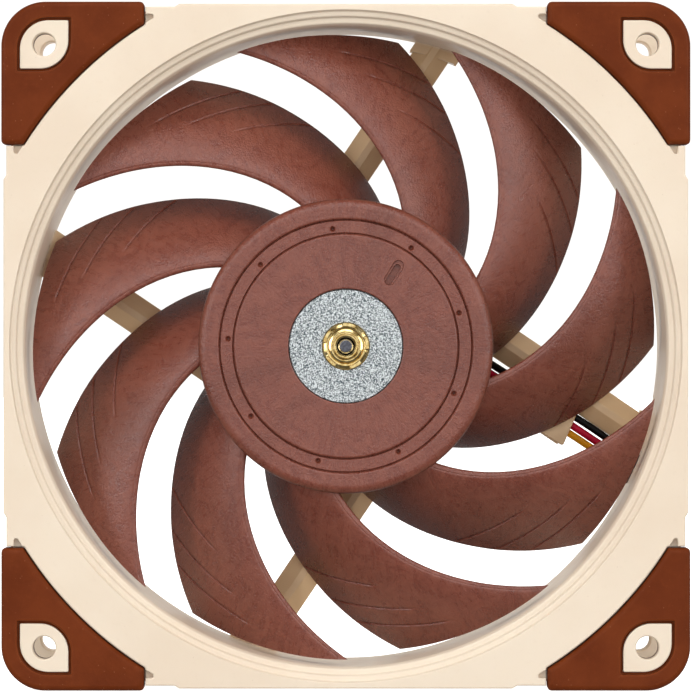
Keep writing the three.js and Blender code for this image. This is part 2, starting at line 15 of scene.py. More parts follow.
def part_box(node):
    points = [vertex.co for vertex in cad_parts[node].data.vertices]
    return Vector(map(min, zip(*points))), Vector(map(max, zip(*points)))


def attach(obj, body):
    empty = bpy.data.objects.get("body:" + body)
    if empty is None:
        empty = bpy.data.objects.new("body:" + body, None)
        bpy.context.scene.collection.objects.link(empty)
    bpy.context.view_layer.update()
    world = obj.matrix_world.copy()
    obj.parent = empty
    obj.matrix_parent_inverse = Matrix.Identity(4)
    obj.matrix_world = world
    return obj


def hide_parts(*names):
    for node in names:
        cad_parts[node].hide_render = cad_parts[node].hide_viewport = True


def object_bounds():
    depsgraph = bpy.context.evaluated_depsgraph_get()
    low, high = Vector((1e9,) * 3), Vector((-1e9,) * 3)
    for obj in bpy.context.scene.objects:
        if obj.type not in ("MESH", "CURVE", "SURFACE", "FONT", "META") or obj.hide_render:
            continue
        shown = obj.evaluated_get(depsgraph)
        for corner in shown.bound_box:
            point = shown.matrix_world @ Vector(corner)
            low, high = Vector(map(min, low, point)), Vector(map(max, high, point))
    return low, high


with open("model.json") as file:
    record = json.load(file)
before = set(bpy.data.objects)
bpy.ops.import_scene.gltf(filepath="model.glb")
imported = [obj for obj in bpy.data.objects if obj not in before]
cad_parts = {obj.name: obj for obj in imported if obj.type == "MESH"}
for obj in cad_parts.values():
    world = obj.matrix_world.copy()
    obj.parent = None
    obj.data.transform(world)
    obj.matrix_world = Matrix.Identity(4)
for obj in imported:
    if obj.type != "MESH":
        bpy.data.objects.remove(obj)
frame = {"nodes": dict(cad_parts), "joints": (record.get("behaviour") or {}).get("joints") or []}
cad_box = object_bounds()

MM = 0.001
AXIS = Vector(frame["joints"][0]["pos_m"])
FRONT_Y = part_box("front_pad_top_left")[0].y
BACK_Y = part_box("back_pad_top_left")[1].y
FLOOR_Z = cad_box[0].z

# ---- driving dimensions, millimetres ----
HALF = AXIS.z / MM
DEPTH = (BACK_Y - FRONT_Y) / MM
HOLE_AT = 52.5
HOLE_R = 2
SEAM = 0.22                   # gap around a pad
LEAF_SEAM = 0.4               # gap around the boss in a pad
FACE = 0.35                   # frame face below the pad face
BACK = FACE - DEPTH           # the frame's face at the back
FLANGE = 4
SIDE_HALF = 59.1
BOSS_HALF = 59.6              # shallow boss in the middle of each side
BOSS_REACH = 29
DUCT_R = 56
DUCT_OUTER_R = 59.2
PAD_ARC_R = 66.2
PAD_END = 35.1
PAD_CORNER_R = 7.75
PAD_PLATE = 2.4
PAD_SKIRT = 4.6
PLATE_TOP = 2.75
PLATE_HALF = 58.1
LEAF_HALF = 4.225
LEAF_ROUND = 5
HUB_R = 25.75
HUB_FACE = -1.65
HUB_BACK = -19.3
HUB_WALL = 1.15
DISC_R = 10
ROOT_R = 25.1                 # a blade starts inside the hub's wall
TIP_R = 55
BLADES = 9
BASE_R = 25.3
BASE_INNER_R = 24.2
BASE_TOP = -20.3
RECESS_R = 22.6               # the label's recess in the back of the base
RECESS_FLOOR = -23.8
STRUT_OFFSET = 16.4
STRUT_HALF = 3.2
STRUT_LOW = STRUT_OFFSET - STRUT_HALF
STRUT_HIGH = STRUT_OFFSET + STRUT_HALF
STRUT_RIDGE = -20.4
STRUT_ANGLES = [56, 146, 236, 326]
WIRE_STRUT = STRUT_ANGLES[3]
WIRE_R = 0.66
WIRE_PITCH = 1.5
WIRE_LIFT = 0.25              # how much nearer the wires lie to the strut than their route
CABLE_R = 1.7
POLE = 0.001                  # where a profile meets the axis it is turned about
SHARP = 0.0001                # rounding of a corner that stays sharp

FAN = Matrix(((MM, 0, 0, 0), (0, 0, -MM, FRONT_Y), (0, MM, 0, AXIS.z), (0, 0, 0, 1)))


def linked(name, data):
    """A new object in the scene."""
    obj = bpy.data.objects.new(name, data)
    bpy.context.scene.collection.objects.link(obj)
    return obj


# ---- camera ----
def make_camera():
    """In front of the fan's middle, a long way off for its width."""
    data = bpy.data.cameras.new("camera")
    data.sensor_width = 36
    data.lens = 208.8
    data.shift_x = 0.0017
    data.shift_y = -0.0012
    data.clip_start = 0.01
    data.clip_end = 20
    camera = linked("camera", data)
    camera.location = (0, FRONT_Y - 0.7, AXIS.z)
    camera.rotation_euler = (math.pi / 2, 0, 0)
    bpy.context.scene.camera = camera


# ---- meshes ----
# A body is a pair (points, faces) of one or more closed skins.
def skin(loops, ring=False, strips=False):
    """A closed body over loops of equally many points. With ring, the last loop joins the
    first. With strips, the ends are closed across the loop from the point after the first."""
    count = len(loops[0])
    points = [p for loop in loops for p in loop]
    rows = list(range(len(loops)))
    following = rows[1:] + ([0] if ring else [])
    faces = []
    for i, j in zip(rows, following):
        for k in range(count):
            m = (k + 1) % count
            faces.append((i * count + k, i * count + m, j * count + m, j * count + k))
    if ring:
        return points, faces
    for start in (0, rows[-1] * count):
        if not strips:
            faces.append(tuple(start + k for k in range(count)))
            continue
        for k in range(count // 2):
            across = [k, k + 1, count - k - 1, (count - k) % count]
            faces.append(tuple(start + n for n in dict.fromkeys(across)))
    return points, faces


def turned(profile, segments, shaped=None):
    """A closed profile of (radius, t) turned about the fan's axis. `shaped` may move a
    point of it, by its radius, depth and angle."""
    loops = []
    for i in range(segments):
        a = 2 * math.pi * i / segments
        loop = []
        for r, t in profile:
            r, t = shaped(r, t, a) if shaped else (r, t)
            loop.append((r * math.cos(a), r * math.sin(a), t))
        loops.append(loop)
    return skin(loops, ring=True)


def stack(outline, steps):
    """A body whose section at depth t is the outline grown by the paired amount."""
    return skin([[(x, y, t) for x, y in outline(grow)] for grow, t in steps])


def edge(t, radius, top=True):
    """Growth and depth steps that round an edge up to the plane at t, or down to it."""
    count = 4
    steps = []
    for i in range(count + 1):
        a = math.pi / 2 * i / count
        drop = radius * (1 - math.sin(a))
        steps.append((-radius * (1 - math.cos(a)), t - drop if top else t + drop))
    return steps if top else steps[::-1]


def prism(outline, low, high, low_edge=0.2, high_edge=0.2):
    """An outline between two depths, with rounded edges."""
    return stack(outline, edge(low, low_edge, top=False) + edge(high, high_edge))


def bend(corner, before, after, radius):
    """The points that round a corner of an outline, between its two neighbours."""
    count = 5
    corner = Vector(corner[:2])
    to_before = Vector(before[:2]) - corner
    to_after = Vector(after[:2]) - corner
    cut = radius / math.tan(to_before.angle(to_after) / 2)
    cut = min(cut, to_before.length * 0.48, to_after.length * 0.48)
    first = corner + to_before.normalized() * cut
    last = corner + to_after.normalized() * cut
    points = []
    for i in range(count + 1):
        s = i / count
        points.append(tuple(first * (1 - s) ** 2 + corner * 2 * s * (1 - s) + last * s * s))
    return points


def eased(corners, radius):
    """A polygon with every corner rounded; a corner may give its own radius third."""
    points = []
    for i, corner in enumerate(corners):
        after = corners[(i + 1) % len(corners)]
        own = corner[2] if len(corner) > 2 else radius
        points += bend(corner, corners[i - 1], after, own)
    return points


def arc(cx, cy, radius, start, end, count):
    """Points on an arc between two angles in degrees."""
    points = []
    for i in range(count + 1):
        a = math.radians(start + (end - start) * i / count)
        points.append((cx + radius * math.cos(a), cy + radius * math.sin(a)))
    return points


def block(x0, x1, y0, y1, low, high, radius=0.25):
    """A box between two depths, with rounded edges."""
    corners = [(x0, y0), (x1, y0), (x1, y1), (x0, y1)]
    middle = Vector(((x0 + x1) / 2, (y0 + y1) / 2))

    def outline(grow):
        grown = []
        for x, y in corners:
            grown.append((x + math.copysign(grow, x - middle.x),
                          y + math.copysign(grow, y - middle.y)))
        return eased(grown, radius)

    return prism(outline, low, high, radius * 0.8, radius * 0.8)


def merged(*bodies):
    points, faces = [], []
    for some_points, some_faces in bodies:
        shift = len(points)
        points += some_points
        faces += [tuple(i + shift for i in face) for face in some_faces]
    return points, faces


def spun(body, *angles):
    """Copies of a body turned about the axis by angles in degrees."""
    copies = []
    for angle in angles:
        c, s = math.cos(math.radians(angle)), math.sin(math.radians(angle))
        points = [(x * c - y * s, x * s + y * c, z) for x, y, z in body[0]]
        copies.append((points, body[1]))
    return merged(*copies)


def four(body):
    return spun(body, 0, 90, 180, 270)


def moved(body, du, dv):
    return [(x + du, y + dv, z) for x, y, z in body[0]], body[1]


def mirrored(body):
    """The same body on the back of the fan."""
    return [(x, y, -DEPTH - z) for x, y, z in body[0]], body[1]


def flipped(body):
    """The same body on the other side of a corner's diagonal."""
    return [(y, x, z) for x, y, z in body[0]], body[1]


def mesh_object(name, body):
    mesh = bpy.data.meshes.new(name)
    mesh.from_pydata(body[0], [], body[1])
    bm = bmesh.new()
    bm.from_mesh(mesh)
    bmesh.ops.remove_doubles(bm, verts=bm.verts, dist=1e-5)
    bmesh.ops.recalc_face_normals(bm, faces=bm.faces)
    bm.to_mesh(mesh)
    bm.free()
    return linked(name, mesh)


def boolean(obj, operation, *bodies):
    """Joins bodies to an object or cuts them out of it, one after another."""
    others = [mesh_object("operand", body) for body in bodies]
    for other in others:
        modifier = obj.modifiers.new("boolean", "BOOLEAN")
        modifier.operation = operation
        modifier.solver = "MANIFOLD"
        modifier.object = other
    depsgraph = bpy.context.evaluated_depsgraph_get()
    mesh = bpy.data.meshes.new_from_object(obj.evaluated_get(depsgraph))
    obj.modifiers.clear()
    obj.data = mesh
    for other in others:
        bpy.data.objects.remove(other)
    return obj


def taken(obj):
    """The body of a trial object, which is removed."""
    body = ([tuple(v.co) for v in obj.data.vertices],
            [tuple(p.vertices) for p in obj.data.polygons])
    bpy.data.objects.remove(obj)
    return body


def settle(obj, body, look, slot, *nodes, smooth=38, own_frame=True):
    """Puts a finished shape on its body, with its material, in place of CAD nodes."""
    if own_frame:
        obj.data.transform(FAN)
    obj.data.materials.clear()
    obj.data.materials.append(look)
    obj.data.shade_smooth()
    obj.data.set_sharp_from_angle(angle=math.radians(smooth))
    weighted = obj.modifiers.new("weighted_normals", "WEIGHTED_NORMAL")
    weighted.keep_sharp = True
    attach(obj, body)
    if nodes:
        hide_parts(*nodes)
    return obj


# ---- materials ----
def paint(code):
    """A linear colour from its six hexadecimal digits."""
    channels = []
    for i in (0, 2, 4):
        value = int(code[i:i + 2], 16) / 255
        channels.append(value / 12.92 if value <= 0.04045 else ((value + 0.055) / 1.055) ** 2.4)
    return (*channels, 1)


class Look:
    """A material under construction, with short ways to add nodes to it."""

    def __init__(self, name, **sockets):
        self.material = bpy.data.materials.new(name)
        self.material.use_nodes = True
        self.tree = self.material.node_tree
        self.shader = self.tree.nodes["Principled BSDF"]
        for key, value in sockets.items():
            self.shader.inputs[key.replace("_", " ")].default_value = value
        self.place = self.add("TexCoord").outputs["Object"]

    def add(self, kind, inputs=None, **settings):
        node = self.tree.nodes.new("ShaderNode" + kind)
        for key, value in settings.items():
            setattr(node, key, value)
        for key, value in (inputs or {}).items():
            if isinstance(value, bpy.types.NodeSocket):
                self.tree.links.new(value, node.inputs[key])
            else:
                node.inputs[key].default_value = value
        return node

    def noise(self, scale, detail=3, rough=0.5, place=None, twist=0):
        return self.add("TexNoise", {"Vector": place or self.place, "Scale": scale,
                                     "Detail": detail, "Roughness": rough,
                                     "Distortion": twist}).outputs[0]

    def cells(self, scale, output=0):
        return self.add("TexVoronoi", {"Vector": self.place, "Scale": scale}).outputs[output]

    def math(self, operation, a, b=0.0):
        return self.add("Math", {0: a, 1: b}, operation=operation).outputs[0]

    def times(self, a, b):
        return self.math("MULTIPLY", a, b)

    def plus(self, a, b):
        return self.math("ADD", a, b)

    def span(self, value, low, high, to_low=0.0, to_high=1.0):
        """The value taken from one range to another, smoothly and held at the ends."""
        return self.add("MapRange", {"Value": value, "From Min": low, "From Max": high,
                                     "To Min": to_low, "To Max": to_high},
                        interpolation_type="SMOOTHSTEP").outputs[0]

    def mix(self, share, *ends):
        """A blend of two colours, each a node's output, a tuple or hexadecimal digits."""
        a, b = [paint(end) if isinstance(end, str) else end for end in ends]
        return self.add("Mix", {0: share, 6: a, 7: b}, data_type="RGBA").outputs[2]

    def edges(self, radius=0.4):
        """Near 1 within a radius in millimetres of an edge, where a surface wears and where a
        painted highlight falls on the rounded edge.
        """
        rounded = self.add("Bevel", {"Radius": radius * MM}, samples=3).outputs[0]
        true = self.add("NewGeometry").outputs["Normal"]
        along = self.add("VectorMath", {0: rounded, 1: true}, operation="DOT_PRODUCT")
        return self.span(along.outputs["Value"], 0.995, 0.8)

    def polar(self, about_turns, along_radius):
        """A place for noise that is drawn out towards the fan's axis."""
        x, _, z = self.add("SeparateXYZ", {0: self.place}).outputs
        z = self.math("SUBTRACT", z, AXIS.z)
        angle = self.math("ARCTAN2", z, x)
        squares = self.plus(self.times(x, x), self.times(z, z))
        radius = self.math("SQRT", squares)
        joined = self.add("CombineXYZ", {
            0: self.times(self.math("SINE", angle), about_turns),
            1: self.times(self.math("COSINE", angle), about_turns),
            2: self.times(radius, along_radius)})
        return joined.outputs[0], radius

    def link(self, key, value):
        self.tree.links.new(value, self.shader.inputs[key])

    def done(self, colour, roughness, *layers):
        """The material, with bumps of (height, depth in metres) laid over each other."""
        self.link("Base Color", colour)
        self.link("Roughness", roughness)
        normal = None
        for height, depth in layers:
            inputs = {"Height": height, "Distance": depth, "Strength": 1.0}
            if normal:
                inputs["Normal"] = normal
            normal = self.add("Bump", inputs).outputs[0]
        self.link("Normal", normal)
        return self.material


def painted_bounce_in_duct(look):
    """1 on what faces the front deep in the duct, where painted shade and painted light bounced
    off the rotor's brown make the colour warmer and darker.
    """
    depth = look.add("SeparateXYZ", {0: look.place}).outputs[1]
    faces = look.add("SeparateXYZ", {0: look.add("NewGeometry").outputs["Normal"]}).outputs[1]
    _, radius = look.polar(1, 1)
    deep = look.times(look.span(depth, FRONT_Y + 0.017, FRONT_Y + 0.019),
                      look.span(radius, 0.0562, 0.0555))
    return look.times(deep, look.span(faces, -0.1, -0.5))


def painted_shade_in_bores(look):
    """1 in the deeper part of the front holes, where little light gets in, for a painted shade.
    """
    x, y, z = look.add("SeparateXYZ", {0: look.place}).outputs
    z = look.math("SUBTRACT", z, AXIS.z)
    across = look.math("SUBTRACT", look.math("ABSOLUTE", x), HOLE_AT * MM)
    up = look.math("SUBTRACT", look.math("ABSOLUTE", z), HOLE_AT * MM)
    squares = look.plus(look.times(across, across), look.times(up, up))
    near = look.span(look.math("SQRT", squares), (HOLE_R + 0.6) * MM, (HOLE_R + 0.5) * MM)
    below = look.span(y, FRONT_Y + 0.0019, FRONT_Y + 0.0023)
    above = look.span(y, FRONT_Y + 0.0055, FRONT_Y + 0.005)
    return look.times(near, look.times(below, above))


def frame_plastic():
    look = Look("frame_plastic", IOR=1.49)
    cloud = look.noise(45, 4)
    fine = look.noise(900, 3, 0.6)
    colour = look.mix(look.span(cloud, 0.35, 0.65), "dfcdb7", "e4d4bf")
    colour = look.mix(look.span(fine, 0.55, 0.8, 0, 0.12), colour, "c9b298")
    speck = look.span(look.cells(420), 0.05, 0.03)
    colour = look.mix(look.times(speck, 0.25), colour, "a98f6f")
    # lighter near edges: wear, and painted highlight on the rounded edges
    colour = look.mix(look.times(look.edges(), 0.25), colour, "efe4d4")
    # painted shade and painted light bounced off the rotor, deep in the duct
    colour = look.mix(painted_bounce_in_duct(look), colour, "d3b48c")
    # painted shade low in the front holes
    colour = look.mix(painted_shade_in_bores(look), colour, "5c3423")
    look.shader.inputs["Subsurface Weight"].default_value = 0.05
    look.shader.inputs["Subsurface Radius"].default_value = (0.0012, 0.0008, 0.0005)
    look.shader.inputs["Subsurface Scale"].default_value = 1.0
    return look.done(colour, look.span(look.noise(300, 3), 0.3, 0.7, 0.38, 0.5),
                     (look.noise(3200, 2, 0.6), 0.000008), (cloud, 0.00003))


def silicone():
    look = Look("silicone", IOR=1.42, Specular_IOR_Level=0.1)
    cloud = look.noise(140, 4, 0.6)
    grain = look.noise(1400, 3, 0.6)
    colour = look.mix(look.span(cloud, 0.3, 0.7), "60280d", "6c3012")
    colour = look.mix(look.span(grain, 0.5, 0.8, 0, 0.25), colour, "793818")
    dust = look.span(look.cells(800), 0.10, 0.05)
    colour = look.mix(look.times(dust, 0.3), colour, "a5724f")
    # painted highlight on the pads' rounded edges
    colour = look.mix(look.times(look.edges(0.8), 0.5), colour, "8f4a26")
    return look.done(colour, look.span(look.noise(260, 3), 0.3, 0.7, 0.34, 0.48),
                     (grain, 0.00003), (look.noise(5000, 2), 0.000006))


def impeller_plastic():
    """Glass-filled plastic: a fine satin grain, and faint flow marks that run outwards."""
    look = Look("impeller_plastic", IOR=1.5, Specular_IOR_Level=0.68)
    swirl = look.noise(160, 5, 0.7, twist=3.0)
    grain = look.noise(2300, 4, 0.65)
    drawn, _ = look.polar(55, 300)
    fibres = look.noise(1, 4, 0.65, place=drawn, twist=0.8)
    sectors, _ = look.polar(2.2, 12)
    shade = look.noise(1, 2, place=sectors)
    marks = look.times(fibres, swirl)
    colour = look.mix(look.span(swirl, 0.32, 0.68), "6e3426", "7c3e2d")
    colour = look.mix(look.span(marks, 0.18, 0.38, 0, 0.4), colour, "874d3b")
    colour = look.mix(look.span(grain, 0.5, 0.75, 0, 0.5), colour, "905747")
    colour = look.mix(look.span(shade, 0.55, 0.3, 0, 0.35), colour, "57281a")
    # painted shade: darker where the surface turns away from the view
    facing_away_shade = look.add("LayerWeight", {"Blend": 0.5}).outputs["Facing"]
    colour = look.mix(look.span(facing_away_shade, 0.3, 0.9, 0, 0.6), colour, "5a2617")
    # lighter near edges: wear, and painted highlight on the rounded edges
    colour = look.mix(look.times(look.edges(0.3), 0.3), colour, "965f50")
    return look.done(colour, look.span(marks, 0.15, 0.4, 0.26, 0.38),
                     (marks, 0.00009), (grain, 0.00014))


def speckled_steel():
    look = Look("zinc_plated_steel", Metallic=1.0)
    grain = look.cells(7000, output=1)
    level = look.add("RGBToBW", {0: grain}).outputs[0]
    fine = look.noise(9500, 3, 0.7)
    tone = look.plus(look.times(level, 0.7), look.times(fine, 0.3))
    colour = look.mix(look.span(tone, 0.32, 0.68), "3f4f57", "f2f7f8")
    return look.done(colour, look.span(tone, 0.3, 0.7, 0.6, 0.42), (tone, 0.00004))


def metal(name, dark, light, rough, depth=0.000006):
    """Metal with fine lines round the fan's axis."""
    look = Look(name, Metallic=1.0)
    brushed, _ = look.polar(30, 4000)
    lines = look.noise(1, 4, 0.6, place=brushed)
    cloud = look.noise(900, 3)
    share = look.times(look.plus(lines, cloud), 0.5)
    colour = look.mix(look.span(share, 0.35, 0.65), dark, light)
    return look.done(colour, look.span(share, 0.3, 0.7, rough * 0.75, rough * 1.3),
                     (lines, depth), (cloud, depth))


def shaft_steel():
    """Bright ground steel with a dull sawn end."""
    look = Look("ground_steel", Metallic=1.0)
    _, radius = look.polar(1, 1)
    bright = look.span(radius, 0.92 * MM, 0.99 * MM)
    grain = look.noise(2600, 3)
    dull = look.mix(look.span(grain, 0.35, 0.65), "54555c", "6b6c75")
    polished = look.mix(look.span(grain, 0.35, 0.65), "c4c4c6", "dededf")
    return look.done(look.mix(bright, dull, polished),
                     look.span(look.math("SUBTRACT", grain, bright), -1, 1, 0.1, 0.5),
                     (grain, 0.000006))


def plastic(name, base, tint, rough, depth=0.000008, **sockets):
    look = Look(name, **sockets)
    cloud = look.noise(90, 4, 0.6)
    grain = look.noise(1800, 3, 0.6)
    colour = look.mix(look.span(cloud, 0.3, 0.7), base, tint)
    colour = look.mix(look.span(grain, 0.5, 0.8, 0, 0.2), colour, tint)
    # lighter near edges: wear, and painted highlight on the rounded edges
    colour = look.mix(look.times(look.edges(), 0.3), colour, tint)
    return look.done(colour, look.span(grain, 0.3, 0.7, rough * 0.85, rough * 1.15),
                     (grain, depth), (cloud, depth * 3))


def layered(name, dark, light, pitch, rough, metallic):
    """Thin layers or windings stacked along the fan's axis."""
    look = Look(name, Metallic=metallic)
    split = look.add("SeparateXYZ", {0: look.place})
    level = look.times(split.outputs[1], 2 * math.pi / (pitch * MM))
    wave = look.math("SINE", look.plus(level, look.noise(500, 2)))
    cloud = look.noise(700, 3)
    share = look.plus(look.times(wave, 0.3), cloud)
    return look.done(look.mix(look.span(share, 0.2, 0.9), dark, light),
                     look.span(cloud, 0.3, 0.7, rough * 0.8, rough * 1.2),
                     (wave, 0.00004), (cloud, 0.00001))


def braid():
    """Round sleeving woven of black monofilament, laid out along the cable's own length."""
    look = Look("braided_sleeve", IOR=1.46, Sheen_Weight=0.2, Sheen_Roughness=0.4)
    split = look.add("SeparateXYZ", {0: look.add("UVMap").outputs[0]})
    around = look.times(split.outputs[0], 2 * math.pi * 6)
    along = look.times(split.outputs[1], 2 * math.pi / 0.0022)
    left = look.math("SINE", look.plus(around, along))
    right = look.math("SINE", look.math("SUBTRACT", around, along))
    weave = look.math("MAXIMUM", left, right)
    yarn = look.plus(weave, look.times(look.noise(4000, 2), 0.5))
    colour = look.mix(look.span(yarn, -0.2, 1.3), "050505", "222224")
    return look.done(colour, look.span(yarn, -0.2, 1.2, 0.75, 0.42), (yarn, 0.00012))


def label_print():
    """A plain round label: a pale field with a printed ring and a printed middle."""
    look = Look("label_print", IOR=1.5, Coat_Weight=0.25, Coat_Roughness=0.2)
    _, radius = look.polar(20, 200)
    ring = look.times(look.span(radius, 0.0170, 0.0171), look.span(radius, 0.0204, 0.0203))
    core = look.span(radius, 0.0063, 0.0062)
    fibres = look.noise(800, 4, 0.7)
    field = look.mix(look.span(fibres, 0.3, 0.8), "dccfb8", "e7dccb")
    colour = look.mix(ring, field, "6b3a2a")
    colour = look.mix(core, colour, "7a4838")
    return look.done(colour, look.span(fibres, 0.3, 0.7, 0.38, 0.5),
                     (fibres, 0.00001), (ring, 0.00002))


# ---- frame ----
def pad_outline(grow):
    """A corner pad in the quadrant +u +v."""
    inner = PAD_ARC_R - grow
    end, out = PAD_END - grow, HALF + grow
    tip = math.sqrt(inner ** 2 - end ** 2)
    first = math.degrees(math.atan2(end, tip))
    centre = HALF - PAD_CORNER_R
    corner = arc(centre, centre, PAD_CORNER_R + grow, 90, 0, 24)
    inside = arc(0, 0, inner, first, 90 - first, 64)
    return [*bend((end, tip), inside[-4], (end, out), 0.5),
            *bend((end, out), (end, tip), corner[0], 0.9), *corner,
            *bend((out, end), corner[-1], (tip, end), 0.9),
            *bend((tip, end), (out, end), inside[3], 0.5), *inside[3:-3]]


def leaf_outline(grow):
    half, radius = LEAF_HALF + grow, LEAF_ROUND + grow
    low, high = HOLE_AT - half, HOLE_AT + half
    return [*bend((low, high), (high, high), (low, low), 0.3),
            *arc(low + radius, low + radius, radius, 180, 270, 16),
            *bend((high, low), (low, low), (high, high), 0.3),
            *arc(high - radius, high - radius, radius, 0, 90, 16)]


def plate_outline(grow):
    """The corner plate under a pad, reaching a little into the flange."""
    inner, end = PAD_ARC_R - 1.4, PAD_END - 1.1
    out = PLATE_HALF + grow
    tip = math.sqrt(inner ** 2 - end ** 2)
    first = math.degrees(math.atan2(end, tip))
    centre = HALF - PAD_CORNER_R
    radius = PAD_CORNER_R - (HALF - PLATE_HALF) + grow
    return [(end, out), *arc(centre, centre, radius, 90, 0, 24), (out, end),
            *arc(0, 0, inner, first, 90 - first, 24)]


def flange_outline(grow):
    side, boss, corner = SIDE_HALF + grow, BOSS_HALF + grow, 6
    quarter = [(side, corner - SIDE_HALF), *bend((side, -BOSS_REACH - 0.8), (side, -50),
               (boss, -BOSS_REACH), 0.4), *bend((boss, -BOSS_REACH), (side, -BOSS_REACH - 0.8),
               (boss, 0), 0.4), *bend((boss, BOSS_REACH), (boss, 0), (side, BOSS_REACH + 0.8),
               0.4), *bend((side, BOSS_REACH + 0.8), (boss, BOSS_REACH), (side, 50), 0.4),
               *arc(SIDE_HALF - corner, SIDE_HALF - corner, corner + grow, 0, 90, 8)]
    points = []
    for k in range(4):
        c, s = [(1, 0), (0, 1), (-1, 0), (0, -1)][k]
        points += [(x * c - y * s, x * s + y * c) for x, y in quarter]
    return points


def wedge_outline(grow):
    """The small recess in the frame beyond the end of a pad's leg."""
    corners = [(PAD_END + 0.6, 57.9 + grow, 0.1), (33.5 - grow, 57.75 + grow, 0.35),
               (33.5 - grow, 57.1 - grow, 0.35), (PAD_END + 0.6, 55.8 - grow, 0.1)]
    return eased(corners, 0.3)


def flange():
    """The front flange with its pad pockets, corner plates, leaf bosses and holes."""
    top, bottom = -FACE, -FACE - FLANGE
    obj = mesh_object("flange", prism(flange_outline, bottom, top, 0.3, 0.3))
    pocket = stack(pad_outline, [(SEAM, bottom - 1), (SEAM, top - 0.3), (SEAM + 0.1, top - 0.1),
                                 (SEAM + 0.3, top), (SEAM + 1.2, top + 1)])
    core = turned([(0, bottom - 1), (58.9, bottom - 1), (58.9, 1), (0, 1)], 192)
    wedge = stack(wedge_outline, [(0, top - 1.3), (0, top - 0.15), (0.15, top), (0.3, top + 1)])
    boolean(obj, "DIFFERENCE", four(pocket), core, four(wedge), four(flipped(wedge)))
    plate = prism(plate_outline, bottom, -PLATE_TOP, 0.25, 0.2)
    leaf = prism(leaf_outline, -PLATE_TOP - 1.2, top, 0.01, 0.22)
    trench = stack(leaf_outline, [(LEAF_SEAM + 0.1, -PLATE_TOP - 0.9),
                                  (LEAF_SEAM + 0.1, -PLATE_TOP + 1)])
    boolean(obj, "UNION", four(plate))
    boolean(obj, "DIFFERENCE", four(trench))
    boolean(obj, "UNION", four(leaf))
    hole = turned([(0, bottom - 1), (HOLE_R + 1.25, bottom - 1), (HOLE_R, bottom + 0.25),
                   (HOLE_R, top - 0.28), (HOLE_R + 0.1, top - 0.1),
                   (HOLE_R + 0.28, top), (HOLE_R + 1.3, top + 1), (0, top + 1)], 48)
    return taken(boolean(obj, "DIFFERENCE", four(moved(hole, HOLE_AT, HOLE_AT))))


def strut_bar():
    """A strut of the first quadrant's kind, with a ridge along its front."""
    section = eased([(STRUT_LOW, BACK), (STRUT_HIGH, BACK), (STRUT_HIGH, -22.6),
                     (STRUT_OFFSET + 0.6, STRUT_RIDGE), (STRUT_OFFSET - 0.6, STRUT_RIDGE),
                     (STRUT_LOW, -22.1)], 0.3)
    return skin([[(s, n, t) for n, t in section] for s in (14.8, 24, 34, 44, 55)])


def duct():
    """The round wall, with the steps of its inlet."""
    profile = eased([(DUCT_R, BACK, 0.3), (DUCT_OUTER_R, BACK, 0.2), (DUCT_OUTER_R, -FACE, 0.1),
                     (58.6, -FACE, 0.12), (58.35, -1.15, 0.25), (57.5, -1.2, 0.45),
                     (57.3, -2.05, 0.25), (56.35, -2.15, 0.5), (DUCT_R, -3.2, 0.8)], 0.3)
    return turned(profile, 288)


def motor_base():
    """A dish that holds the board, with the bearing's tube in its middle."""
    return turned(eased([(4.9, -23.2, 0.01), (4.9, -15, 0.2), (6.4, -15, 0.2), (6.4, -22.8, 0.3),
                         (BASE_INNER_R, -22.8, 0.3), (BASE_INNER_R, BASE_TOP, 0.2),
                         (BASE_R, BASE_TOP, 0.3), (BASE_R, BACK, 0.5), (RECESS_R, BACK, 0.15),
                         (RECESS_R, RECESS_FLOOR, 0.2), (POLE, RECESS_FLOOR, SHARP),
                         (POLE, -23.2, SHARP)], 0.2), 192)


def tab_outline(grow):
    """The tab over the wires, beside their strut."""
    return eased([(33.6, STRUT_LOW + 2.4), (33.6, 7.2 - grow, 0.3), (34.2, 6.6 - grow, 0.3),
                  (42.2 + grow, 6.9 - grow, 0.5), (40.6 + grow, STRUT_LOW + 2.4)], 0.1)


def build_frame(look):
    obj = mesh_object("frame_moulding", duct())
    front = flange()
    boolean(obj, "UNION", front)
    boolean(obj, "UNION", mirrored(front))
    bars = spun(strut_bar(), *STRUT_ANGLES)
    root = block(50, 56.6, STRUT_LOW - 1, STRUT_HIGH + 0.1, BACK + 0.01, -20.6, 0.5)
    roots = mesh_object("roots", spun(root, *STRUT_ANGLES))
    boolean(roots, "DIFFERENCE", turned([(0, -30), (54.1, -30), (54.1, 0), (0, 0)], 192))
    boolean(obj, "UNION", bars, taken(roots))
    clear = turned([(0, -23.6), (BASE_INNER_R, -23.6), (BASE_INNER_R, 0), (0, 0)], 192)
    behind = turned([(0, -26), (RECESS_R, -26), (RECESS_R, RECESS_FLOOR), (0, RECESS_FLOOR)],
                    192)
    boolean(obj, "DIFFERENCE", clear, behind)
    tab = prism(tab_outline, -21.15, -20.3, 0.15, 0.2)
    lip = block(34.3, 41.1, 6.75, 7.6, -23.6, -20.9, 0.2)
    boolean(obj, "UNION", motor_base(), spun(tab, WIRE_STRUT), spun(lip, WIRE_STRUT))
    exit_notch = block(53.6, 60.4, 7.9, 13.9, -DEPTH - 1, -20.4, 0.3)
    rim_slot = block(18, 26, 7.9, 12.7, -22.35, -20, 0.3)
    lane = block(49, 55, 7.9, 13.25, -23, -19, 0.3)
    for cut in (exit_notch, rim_slot, lane):
        boolean(obj, "DIFFERENCE", spun(cut, WIRE_STRUT))
    settle(obj, "housing", look, "frame", "frame")


